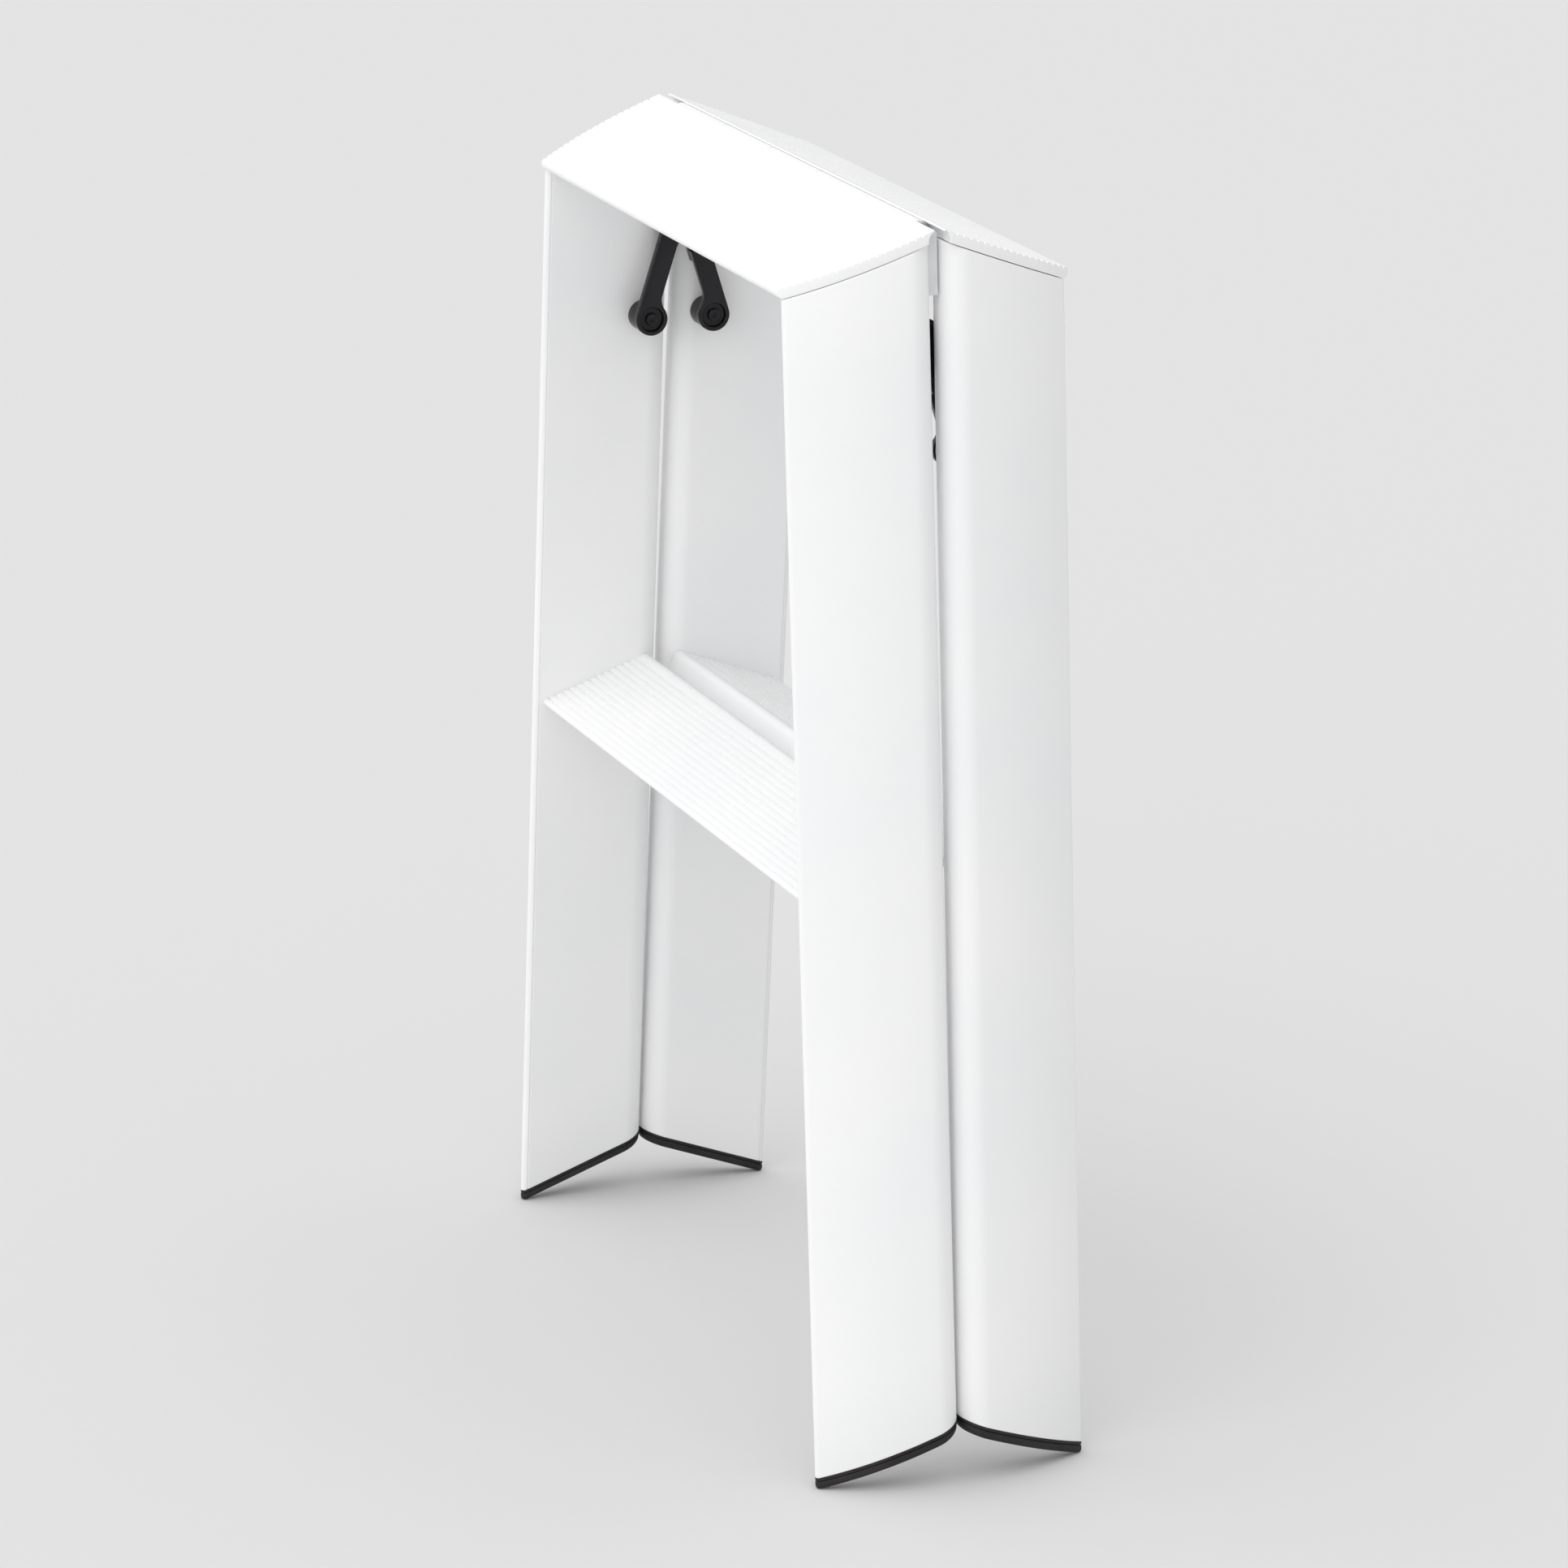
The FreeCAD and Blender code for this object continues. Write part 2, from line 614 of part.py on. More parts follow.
stud_base = hub_cylinder(-STUD_ROOT, far_plane - AXIAL_CLEAR, BASE_RADIUS).cut(inner_trim())
stud_shaft = hub_cylinder(far_plane - 1, washer_under, STUD_RADIUS)
stud_tip = hub_cylinder(washer_under - 1, far_end - STUD_TIP_DROP, STUD_TIP_RADIUS)
stud = stud_base.fuse([stud_shaft, stud_tip]).removeSplitter()

# Washer that keeps the arm on the stud, sunk in the hub ring
washer_end = washer_under + WASHER_THICK
washer = hub_cylinder(washer_under, washer_end, RECESS_RADIUS - WASHER_CLEAR)
washer = washer.cut(hub_cylinder(washer_under, washer_end, STUD_TIP_RADIUS))


# Sides of the arm's bar, measured from the line between hub and joint; the
# outer one runs tangent into the hub ring
bar_sides = (ARM_WIDTH - HUB_RADIUS, -HUB_RADIUS)


def arm_bar(plane, end, run0, run1):
    hub = V(hub_x - plane, hub_y, hub_z)
    corners = []
    for run, side in ((run0, 0), (run1, 0), (run1, 1), (run0, 1), (run0, 0)):
        shift = V(along).multiply(run).add(V(across).multiply(bar_sides[side]))
        corners.append(hub.add(shift))
    return Part.Face(Part.makePolygon(corners)).extrude(V(plane - end, 0, 0))


def filleted(arm):
    """Round the corners where the bar's inner side meets the ring or boss."""
    joins = []
    for edge in arm.Edges:
        place = edge.CenterOfMass.sub(V(0, hub_y, hub_z))
        run = place.dot(along)
        on_side = abs(place.dot(across) - bar_sides[0]) < 0.01
        is_join = abs(edge.Length - ARM_THICK) < 0.01
        meets_ring = abs(math.hypot(run, bar_sides[0]) - HUB_RADIUS) < 0.01
        meets_boss = abs(math.hypot(ARM_LENGTH - run, bar_sides[0]) - BOSS_RADIUS) < 0.01
        if on_side and is_join and (meets_ring or meets_boss):
            joins.append(edge)
    return arm.makeFillet(ARM_FILLET, joins)


def bored(arm):
    """Cut the bearing and the sunk ring of the hub."""
    bore = hub_cylinder(near_plane, far_end, STUD_RADIUS + ARM_BORE_CLEAR)
    return arm.cut(bore).cut(hub_cylinder(recess_floor, far_end, RECESS_RADIUS))


# The arms meet on one pin, fast in the front arm and free in a slot of the
# rear arm; the slot takes up the difference between the true motion and an
# even rate.
hub_reach = math.hypot(HUB_HALF_GAP, HUB_DROP)
hub_angle = math.atan2(HUB_HALF_GAP, HUB_DROP)
travel = 2 * (slant + lean)


def arm_angle(swing):
    """Arm to the mid plane when the frames have swung apart by swing."""
    return math.asin(hub_reach * math.sin(hub_angle + swing / 2) / ARM_LENGTH)


arm_rate = (arm_angle(travel) - arm_angle(0)) / travel
middle_angle = arm_angle(0) + arm_rate * travel / 2
half_miss = ARM_LENGTH * (math.sin(middle_angle) - math.sin(arm_angle(travel / 2)))
slot_run = -2 * half_miss * math.sin(middle_angle)
slot_side = -2 * half_miss * math.cos(middle_angle)

hub_ring = hub_cylinder(far_plane, far_end, HUB_RADIUS)
front_arm = arm_bar(far_plane, far_end, 0, ARM_LENGTH).fuse(hub_ring)
front_arm = front_arm.fuse(boss_cylinder(far_plane, far_end, BOSS_RADIUS)).removeSplitter()
front_arm = bored(filleted(front_arm)).cut(boss_cylinder(far_plane, far_end, PIN_RADIUS))
pin = boss_cylinder(near_plane, far_end, PIN_RADIUS)
pin = pin.fuse(boss_cylinder(far_end, far_end + PIN_HEAD, PIN_HEAD_RADIUS)).removeSplitter()

ring_half = arm_bar(far_plane, far_end, 0, CRANK_END).fuse(hub_ring).removeSplitter()
boss_half = arm_bar(near_plane, near_end, CRANK_START, ARM_LENGTH)
boss_half = boss_half.fuse(boss_cylinder(near_plane, near_end, BOSS_RADIUS)).removeSplitter()
crank = arm_bar(near_plane, far_end, CRANK_START, CRANK_END)
rear_arm = filleted(ring_half).fuse([filleted(boss_half), crank]).removeSplitter()
slot_radius = PIN_RADIUS + SLOT_CLEAR
joint = V(hub_x - near_plane, joint_y, joint_z)
shift = V(along).multiply(slot_run).add(V(across).multiply(slot_side))
far = joint.add(shift)
slot = rod(joint, V(-1, 0, 0), slot_radius, ARM_THICK)
slot = slot.fuse(rod(far, V(-1, 0, 0), slot_radius, ARM_THICK))
square = V(0, shift.z, -shift.y).normalize().multiply(slot_radius)
corners = [joint.add(square), far.add(square), far.sub(square), joint.sub(square)]
corners.append(corners[0])
slot = slot.fuse(Part.Face(Part.makePolygon(corners)).extrude(V(-ARM_THICK, 0, 0)))
rear_arm = bored(rear_arm).cut(slot)

# ------------------------------------------------------------------ edge pads
pad_top = axis_z + PAD_TOP
pad_p0 = (PANEL_THICK - PAD_WIDTH) / 2
pad_plan = plan_box(pad_p0, pad_p0 + PAD_WIDTH, -PAD_THICK, PAD_SEAT)
pad = column(pad_plan.cut(panel_section(0, EDGE_RADIUS)))
pad_corner = V(-FAR, -FAR, pad_top - PAD_LENGTH)
pad = pad.common(Part.makeBox(2 * FAR, 2 * FAR, PAD_LENGTH, pad_corner))

# ------------------------------------------------------------------ write out
save_four("side_panel", panel)
save_both("top_tread", plate)
save_both("middle_step", step)
save_both("tread_bracket", pair(top_bracket))
save_both("step_bracket", pair(step_bracket))
save_both("tread_bracket_screw", pair(Part.makeCompound(top_screws)))
save_both("step_bracket_screw", pair(Part.makeCompound(step_screws)))
save_both("step_bracket_rivet", pair(Part.makeCompound(step_rivets)))
save_both("rail_screw", rail_screws)
save("hinge_rail_front", settle(rail_front))
save("hinge_rail_rear", to_rear(settle(rail_rear)))
save("hinge_rod", hinge_rod)
save("hinge_rod_cap", pair(rod_cap))

foot = settle(foot).cut(floor_box)
save("foot_front_right", foot)
save("foot_front_left", to_left(foot))
save("foot_rear_right", to_rear(foot))
save("foot_rear_left", to_rear(to_left(foot)))

save_both("link_stud", pair(stud))
save_both("link_washer", pair(washer))
save("link_arm_front_right", settle(front_arm))
save("link_arm_front_left", to_left(settle(front_arm)))
save("link_arm_rear_right", to_rear(settle(rear_arm)))
save("link_arm_rear_left", to_rear(to_left(settle(rear_arm))))
save("link_pin_right", settle(pin))
save("link_pin_left", to_left(settle(pin)))
save("edge_pad", settle(pair(pad)))

print("hinge axis height", round(axis_z, 3))
print("flare slope", round(flare, 5))
print("arm turn per swing", round(arm_rate - 0.5, 5))
print("hub x", round(hub_x, 3), "arm planes", near_plane, far_plane)
print("slot", round(slot_run, 3), round(slot_side, 3))
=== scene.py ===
# %% [markdown]
# # A folding two-step stool
#
# The stool is two mirror-image frames that hang from one hinge line. Each
# frame has two bowed side panels, a ribbed tread on top, a ribbed step half
# way down and a rubber foot under each panel. Black links join the frames
# and straighten as they open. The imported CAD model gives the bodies, joints
# and boxes; the cells below give each piece its finished surface.
#
# Lengths are metres. X runs along the hinge line, Z is up, and the front
# frame is on the -Y side.

# %% Load the frame
import json
import math

import bpy
import numpy as np
from mathutils import Matrix, Vector


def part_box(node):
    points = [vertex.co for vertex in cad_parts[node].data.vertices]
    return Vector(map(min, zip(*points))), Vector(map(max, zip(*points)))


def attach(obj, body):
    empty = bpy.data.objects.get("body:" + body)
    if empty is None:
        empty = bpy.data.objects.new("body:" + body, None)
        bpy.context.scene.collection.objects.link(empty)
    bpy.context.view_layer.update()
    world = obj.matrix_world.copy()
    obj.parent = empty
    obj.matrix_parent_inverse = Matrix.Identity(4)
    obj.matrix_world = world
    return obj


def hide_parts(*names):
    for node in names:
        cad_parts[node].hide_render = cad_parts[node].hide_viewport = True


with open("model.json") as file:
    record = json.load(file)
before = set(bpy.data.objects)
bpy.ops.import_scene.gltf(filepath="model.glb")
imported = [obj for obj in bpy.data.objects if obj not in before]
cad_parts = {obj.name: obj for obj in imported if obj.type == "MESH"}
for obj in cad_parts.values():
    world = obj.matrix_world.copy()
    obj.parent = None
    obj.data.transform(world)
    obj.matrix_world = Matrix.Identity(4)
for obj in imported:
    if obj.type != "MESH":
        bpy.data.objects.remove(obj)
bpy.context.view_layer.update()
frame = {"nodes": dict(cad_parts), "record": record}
record = frame["record"]
joints = {j["name"]: j for j in record["behaviour"]["joints"]}
axis_z = joints["unfold"]["pos_m"][2]

# %% [markdown]
# ## The way a piece is laid out
#
# Everything on a frame was drawn with the legs upright, so treads and steps
# slope by the leg's slant. A point on a tread is given by s, its distance
# out from the hinge line, and n, its height square to the tread. A point of
# a side panel's section is given by p, out from the flat inner face, and u,
# out from the hinge edge. Two small functions turn these into X, Y and Z,
# so each piece can be written in the directions it is made in.

# %% Sizes and the two coordinate rules
MM = 0.001
SLANT = math.radians(20.5)
LEAN = math.radians(0.17)
GAP = 2.3 * MM
PANEL_WIDE = 71.0 * MM
PANEL_THICK = 25.5 * MM
NOSE = 3.0 * MM
HINGE_ROUND = 0.47 * PANEL_THICK
FLOOR_HALF = 221.5 * MM
FLARE = 0.09015
SOLE = -552.0 * MM
FOOT_TOP = -546.0 * MM
PLATE_UNDER = 1.0 * MM
PLATE_TOP = 6.5 * MM
SLIT = 0.4 * MM                  # between the panels' top ends and the tread
PANEL_END = PLATE_UNDER - SLIT
STEP_TOP = SOLE + 275.0 * MM


def inner_x(z):
    """Half the clear width: it shrinks evenly as the height grows."""
    return FLOOR_HALF - FLARE * z


def level_yz(s, n):
    """s runs out and down along the slope, n stands square to it."""
    y = -s * math.cos(SLANT) - n * math.sin(SLANT)
    z = axis_z - s * math.sin(SLANT) + n * math.cos(SLANT)
    return y, z


def plane_z(y, n):
    """Height of the sloping plane n at the depth y."""
    return axis_z + (n + y * math.sin(SLANT)) / math.cos(SLANT)


nose_u = PANEL_WIDE - NOSE
rise = PANEL_THICK - 2 * NOSE
bow = (nose_u ** 2 + (PANEL_THICK - NOSE) ** 2 - NOSE ** 2) / (2 * rise)
bow_centre = PANEL_THICK - bow


def bow_p(u):
    """Bowed face: the circle of radius bow whose crown is at the hinge edge."""
    return bow_centre + np.sqrt(bow ** 2 - np.clip(u, 0, None) ** 2)


print("radius of the bowed face", round(bow * 1000, 1), "mm")

# %% [markdown]
# ## From a grid of points to a closed skin
#
# Nearly every piece here is an extrusion, so one helper covers them: rings
# of points, each ring the same closed section, joined by quads. Each ring
# runs from one tip of the section along the top and back underneath, so the
# two ends can be closed by quads that zip the top run to the bottom run.
# A large fan of triangles at one point would shade badly; the zip doesn't.
# The signed volume tells whether the faces point outwards, and all of them
# are turned together if they don't.

# %% Skin helpers
def skin(rings):
    """Quads between neighbouring rings, and zipped quads over both ends."""
    count, size = rings.shape[:2]
    ids = np.arange(count * size).reshape(count, size)
    nxt = np.roll(ids, -1, axis=1)
    side = np.stack([ids[:-1], nxt[:-1], nxt[1:], ids[1:]], axis=-1).reshape(-1, 4)
    j = np.arange(size // 2 - 1)
    far = size - 1 - j
    first = np.stack([ids[0][j + 1], ids[0][j], ids[0][far], ids[0][far - 1]], axis=-1)
    last = np.stack([ids[-1][j], ids[-1][j + 1], ids[-1][far - 1], ids[-1][far]], axis=-1)
    return rings.reshape(-1, 3), np.concatenate([side, first, last])


def lathe(radii, depths, centre, turns=64):
    """Circle of each radius at each depth along X about centre; the first
    and last radius are nearly nothing, and a last small face closes them."""
    a = np.arange(turns) * 2 * math.pi / turns
    r = np.asarray(radii)[:, None]
    x = centre[0] + np.asarray(depths)[:, None] + 0 * a
    grid = np.stack([x, centre[1] + r * np.cos(a), centre[2] + r * np.sin(a)], axis=-1)
    return skin(grid)


def outward(points, faces):
    """Turn every face over if the enclosed volume comes out negative."""
    a, b, c, d = (points[faces[:, k]] for k in range(4))
    volume = np.einsum("ij,ij->", a, np.cross(b, c)) + np.einsum("ij,ij->", a, np.cross(c, d))
    return faces if volume > 0 else faces[:, ::-1]


def join(shells):
    """Several closed shells as one set of points and faces."""
    points, faces, start = [], [], 0
    for p, f in shells:
        points.append(p)
        faces.append(outward(p, f) + start)
        start += len(p)
    return np.concatenate(points), np.concatenate(faces)


def settle(points):
    """Swing the front frame's drawing by the small lean of the folded pose."""
    dz = points[:, 2] - axis_z
    y = points[:, 1] * math.cos(LEAN) - dz * math.sin(LEAN)
    z = axis_z + points[:, 1] * math.sin(LEAN) + dz * math.cos(LEAN)
    return np.stack([points[:, 0], y, z], axis=-1)


def mirrored(shell, x=1, y=1):
    """The same shell on the other side of a mid plane."""
    return shell[0] * np.array([x, y, 1.0]), shell[1]


pieces_made = []


def make(name, shells, material, body, nodes=(), sharp=40):
    """One Blender object from closed shells, riding on its CAD body."""
    points, faces = join(shells)
    mesh = bpy.data.meshes.new(name)
    mesh.from_pydata(points.tolist(), [], faces.tolist())
    mesh.polygons.foreach_set("use_smooth", np.ones(len(faces), dtype=bool))
    mesh.set_sharp_from_angle(angle=math.radians(sharp))
    mesh.update()
    piece = bpy.data.objects.new(name, mesh)
    bpy.context.scene.collection.objects.link(piece)
    mesh.materials.append(material)
    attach(piece, body)
    if nodes:
        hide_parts(*nodes)
    pieces_made.append(piece)
    print(name, len(points), "points", len(faces), "faces")
    return piece


def inset(section, amount):
    """Each point of a closed section moved inwards, square to the line
    between its two neighbours."""
    along = np.roll(section, -1, axis=0) - np.roll(section, 1, axis=0)
    normal = np.stack([-along[:, 1], along[:, 0]], axis=-1)
    normal /= np.linalg.norm(normal, axis=1)[:, None]
    x, y = section.T
    area = np.sum(x * np.roll(y, -1) - y * np.roll(x, -1))
    return section + normal * amount * (1 if area > 0 else -1)


def arc(centre, radius, a0, a1, count):
    """Points of a circle between two angles, first coordinate by cosine."""
    a = np.linspace(a0, a1, count)
    return np.stack([centre[0] + radius * np.cos(a), centre[1] + radius * np.sin(a)], axis=-1)


def even_line(a, b, count):
    """Points along a line, with one close to each end to keep it flat."""
    t = np.concatenate([[0.0, 0.01], np.linspace(0.03, 0.97, count - 4), [0.99, 1.0]])
    return np.asarray(a)[None] + t[:, None] * (np.asarray(b) - np.asarray(a))[None]


# quarter round at a cut end: (inset, distance from the end) in radii
END_ROUND = [(1 - math.cos(a), 1 - math.sin(a)) for a in np.linspace(math.pi / 2, 0, 5)]

# %% [markdown]
# ## Powder coat
#
# The frames are white powder coat: a thick baked plastic skin over the
# aluminium. It is almost flat white, a little warm or cool from place to
# place, with the faint orange-peel ripple of a coat that flowed and set.
# Two noise patterns on object coordinates give that: a slow one for tone, and a fine one for the
# gloss and the ripple in the bump.

# %% Material helpers and the white coat
def new_material(name, color, roughness):
    """A material with one colour and one roughness, and its shader."""
    mat = bpy.data.materials.new(name)
    mat.use_nodes = True
    shader = mat.node_tree.nodes["Principled BSDF"]
    shader.inputs["Base Color"].default_value = (*color, 1)
    shader.inputs["Roughness"].default_value = roughness
    return mat, mat.node_tree, shader


def noise(tree, scale, detail=3.0, stretch=(1, 1, 1)):
    """Noise on object coordinates; scale is waves per metre."""
    place = tree.nodes.new("ShaderNodeTexCoord")
    mapping = tree.nodes.new("ShaderNodeMapping")
    mapping.inputs["Scale"].default_value = stretch
    pattern = tree.nodes.new("ShaderNodeTexNoise")
    pattern.inputs["Scale"].default_value = scale
    pattern.inputs["Detail"].default_value = detail
    tree.links.new(place.outputs["Object"], mapping.inputs["Vector"])
    tree.links.new(mapping.outputs["Vector"], pattern.inputs["Vector"])
    return pattern.outputs["Fac"]


def ramp(tree, fac, low, high, start=0.35, stop=0.65):
    """Noise value spread between two colours."""
    node = tree.nodes.new("ShaderNodeValToRGB")
    node.color_ramp.elements[0].position = start
    node.color_ramp.elements[1].position = stop
    node.color_ramp.elements[0].color = (*low, 1)
    node.color_ramp.elements[1].color = (*high, 1)
    tree.links.new(fac, node.inputs["Fac"])
    return node.outputs["Color"]


def spread(tree, fac, low, high):
    """Noise value spread between two numbers."""
    node = tree.nodes.new("ShaderNodeMapRange")
    node.inputs["From Min"].default_value = 0.3
    node.inputs["From Max"].default_value = 0.7
    node.inputs["To Min"].default_value = low
    node.inputs["To Max"].default_value = high
    tree.links.new(fac, node.inputs["Value"])
    return node.outputs["Result"]


def bump(tree, height, distance):
    """Surface ripple whose full height is the given distance."""
    node = tree.nodes.new("ShaderNodeBump")
    node.inputs["Strength"].default_value = 1.0
    node.inputs["Distance"].default_value = distance
    tree.links.new(height, node.inputs["Height"])
    return node.outputs["Normal"]


def surface(name, dark, light, rough, tone_scale, grain_scale, grain_depth, metal=0.0,
            stretch=(1, 1, 1)):
    """Colour from a slow noise, roughness and bump from a fine one."""
    mat, tree, shader = new_material(name, light, sum(rough) / 2)
    tone = noise(tree, tone_scale, 4, stretch)
    grain = noise(tree, grain_scale, 2, stretch)
    tree.links.new(ramp(tree, tone, dark, light), shader.inputs["Base Color"])
    tree.links.new(spread(tree, grain, *rough), shader.inputs["Roughness"])
    tree.links.new(bump(tree, grain, grain_depth), shader.inputs["Normal"])
    shader.inputs["Metallic"].default_value = metal
    return mat, shader


white, _ = surface("white_powder_coat", (0.905, 0.91, 0.92), (0.935, 0.935, 0.935),
                              (0.34, 0.40), 9, 700, 0.000006)
black, black_shader = surface("black_moulding", (0.008, 0.0065, 0.008), (0.012, 0.010, 0.0125),
                              (0.18, 0.28), 40, 2600, 0.00001)
black_shader.inputs["Specular IOR Level"].default_value = 0.3
rubber, rubber_shader = surface("foot_rubber", (0.014, 0.012, 0.0135), (0.023, 0.020, 0.022),
                                (0.5, 0.66), 60, 3200, 0.00005)
rubber_shader.inputs["Specular IOR Level"].default_value = 0.35
pale, _ = surface("pale_buffer", (0.66, 0.67, 0.68), (0.72, 0.73, 0.74),
                  (0.45, 0.6), 60, 2200, 0.00003)
satin, _ = surface("satin_aluminium", (0.70, 0.70, 0.71), (0.80, 0.80, 0.81),
                   (0.32, 0.46), 30, 1400, 0.00002, 1.0, (0.05, 1, 1))
steel, _ = surface("ground_steel", (0.50, 0.50, 0.51), (0.62, 0.62, 0.63),
                   (0.22, 0.36), 40, 1800, 0.00001, 1.0, (0.05, 1, 1))
zinc, _ = surface("zinc_screw", (0.52, 0.53, 0.54), (0.70, 0.70, 0.70),
                  (0.28, 0.42), 300, 2400, 0.00001, 1.0)
grey, _ = surface("grey_moulding", (0.34, 0.35, 0.36), (0.42, 0.43, 0.44),
                  (0.42, 0.56), 60, 2600, 0.00003)
black_steel, _ = surface("blackened_pin", (0.014, 0.014, 0.015), (0.028, 0.028, 0.029),
                         (0.26, 0.4), 90, 2400, 0.00002, 0.3)

# %% [markdown]
# ## Finishes on the small CAD parts
#
# The brackets, rails, rod, studs and screws are small and mostly hidden, and
# their CAD shape is already right, so they only get their metal or plastic.

# %% Carried CAD parts
finish = {"pale_plastic": pale, "bracket_metal": satin, "steel_rod": steel, "screw_steel": zinc,
          "grey_plastic": grey, "black_plastic": black, "black_pin": black_steel,
          "foot_rubber": rubber, "white_coat": white}
for part in record["subparts"]:
    mesh = frame["nodes"][part["node"]].data
    mesh.materials.clear()
    mesh.materials.append(finish[part["material_slot"]])
print(len(record["subparts"]), "CAD nodes finished")

# %% [markdown]
# ## Side panels
#
# A side panel is one extruded wing: flat inside, bowed outside, thick and
# rounded at the hinge edge and running out to a thin nose. A fine groove
# runs down the inside just behind the nose. The section is written once as
# a closed line, and carried from the foot plane to the plane under the
# tread. Its two cut ends lie in the sloping planes, and each edge there is
# broken by a small round so that it catches the light as a real cut does.

# %% Panel section and the four panels
NOSE_LIP = 0.75 * MM             # how far the nose runs on behind the groove
SEAM_OUT = 0.3 * MM              # the groove's middle, out from the nose's centre
GROOVE_LINE = np.array([[0, -.45], [.03, -.38], [.12, -.32], [.46, -.26], [.5, -.12],
                        [.5, .12], [.46, .26], [.16, .32], [.09, .38]]) * MM
PANEL_EDGE = 0.45 * MM           # round on the panels' cut ends


def panel_section(groove=True):
    """Outer run: nose, bow, hinge corner, half the hinge edge. Inner run:
    the rest of the hinge edge, corner, flat face, groove, nose. The flat face
    takes as many points as make both runs equally long."""
    tip = math.atan2(nose_u, NOSE - bow_centre)
    reach = bow - HINGE_ROUND
    crown = math.asin(HINGE_ROUND / reach)
    corner_p = bow_centre + reach * math.cos(crown)
    outer = np.concatenate([
        arc((NOSE, nose_u), NOSE, math.pi / 2, tip, 12)[:-1],
        arc((bow_centre, 0), bow, tip, crown, 56)[:-1],
        arc((corner_p, HINGE_ROUND), HINGE_ROUND, crown, -math.pi / 2, 22)[:-1],
        even_line((corner_p, 0), ((corner_p + HINGE_ROUND) / 2, 0), 7)])
    start = math.pi - math.asin(NOSE_LIP / NOSE)
    seam = nose_u + SEAM_OUT
    steps = GROOVE_LINE + np.array([0, seam])
    if not groove:
        steps[:, 0] = 0
    edge = even_line(((corner_p + HINGE_ROUND) / 2, 0), (HINGE_ROUND, 0), 7)[1:]
    round_part = arc((HINGE_ROUND, HINGE_ROUND), HINGE_ROUND, -math.pi / 2, -math.pi, 20)[:-1]
    nose_part = arc((NOSE, nose_u), NOSE, start, math.pi / 2, 12)[:-1]
    others = len(edge) + len(round_part) + len(steps) + len(nose_part)
    flat = even_line((0, HINGE_ROUND), (0, seam + GROOVE_LINE[0, 1]), len(outer) - others + 1)[:-1]
    return outer, np.concatenate([edge, round_part, flat, steps, nose_part])


outer_run, inner_run = panel_section()
print("outer run", len(outer_run), "inner run", len(inner_run))


def closed(outer, inner):
    """Both runs as one ring with as many points on each."""
    return np.concatenate([outer, inner])


def panel_ring(section, n):
    """The section in the sloping plane n, on the leaning side."""
    p, u = section.T
    y = -(GAP + u)
    z = plane_z(y, n)
    return np.stack([inner_x(z) + p, y, z], axis=-1)


def panel_shell():
    """One panel from the foot plane to the slit under the tread."""
    section = closed(outer_run, inner_run)
    low = [panel_ring(inset(section, PANEL_EDGE * i), FOOT_TOP + PANEL_EDGE * d)
           for i, d in END_ROUND[::-1]]
    high = [panel_ring(inset(section, PANEL_EDGE * i), PANEL_END - PANEL_EDGE * d)
            for i, d in END_ROUND]
    low = low if low[0][0, 2] < low[-1][0, 2] else low[::-1]
    high = high if high[0][0, 2] < high[-1][0, 2] else high[::-1]
    between = [panel_ring(section, n) for n in np.linspace(FOOT_TOP, PANEL_END, 14)[1:-1]]
    points, faces = skin(np.stack(low + between + high))
    return settle(points), faces


CORNERS = {"front_right": (1, 1), "front_left": (-1, 1),
           "rear_right": (1, -1), "rear_left": (-1, -1)}


def frame_of(corner):
    """The body a corner's pieces ride on."""
    return corner.split("_")[0] + "_frame"


panel = panel_shell()
for corner, (sx, sy) in CORNERS.items():
    make("panel_" + corner, [mirrored(panel, sx, sy)], white, frame_of(corner),
         ["side_panel_" + corner])

# %% [markdown]
# ## Top treads
#
# The treads are thin ribbed plates. Their outer edge is a full round, and
# each end is sawn to the panel's bow so that plate and panel run flush. The
# rib is one short wave that repeats, so the top run of the section is made
# by shifting one rib along by its pitch, all ribs at once.

# %% Ribs
RIB = 4.0 * MM
RIB_DEEP = 0.8 * MM
RIB_WAVE = np.array([[0.00, 1.0], [0.06, 0.93], [0.10, 0.55], [0.13, 0.12], [0.18, 0.0],
                     [0.25, 0.0], [0.29, 0.12], [0.32, 0.55], [0.36, 0.93], [0.42, 1.0]])


def ribbed(s_from, s_to, top):
    """Ribs from s_from down to s_to: groove wave first, then the crest."""
    count = max(1, int(round((s_from - s_to) / RIB)))
    pitch = (s_from - s_to) / count
    s = s_from - (np.arange(count)[:, None] + RIB_WAVE[None, :, 0]) * pitch
    n = top - RIB_DEEP * (1 - RIB_WAVE[None, :, 1]) + 0 * s
    return np.stack([s.ravel(), n.ravel()], axis=-1)


def run_out(y, n):
    """Distance s at which the plane n reaches the depth y."""
    return (-y - n * math.sin(SLANT)) / math.cos(SLANT)


# %% Tread section and the two treads
PLATE_OVER = 1.5 * MM            # how far the plate stands out past the panels
SCOOP = 5.55 * MM                # hollow under the ridge, about the hinge line
RIDGE_GAP = 0.35 * MM            # half the gap between the two treads' inner ends
RIB_START = 4.0 * MM
PLATE_EDGE = 0.4 * MM
BAR_WIDE = 2.5 * MM
BAR_DEEP = 7 * MM
BAR_INTO = 0.6 * MM              # how far a bar runs up into the plate
BAR_HALF = 136 * MM
plate_out = run_out(-(GAP + PANEL_WIDE), PLATE_UNDER) + PLATE_OVER
edge_round = (PLATE_TOP - PLATE_UNDER) / 2


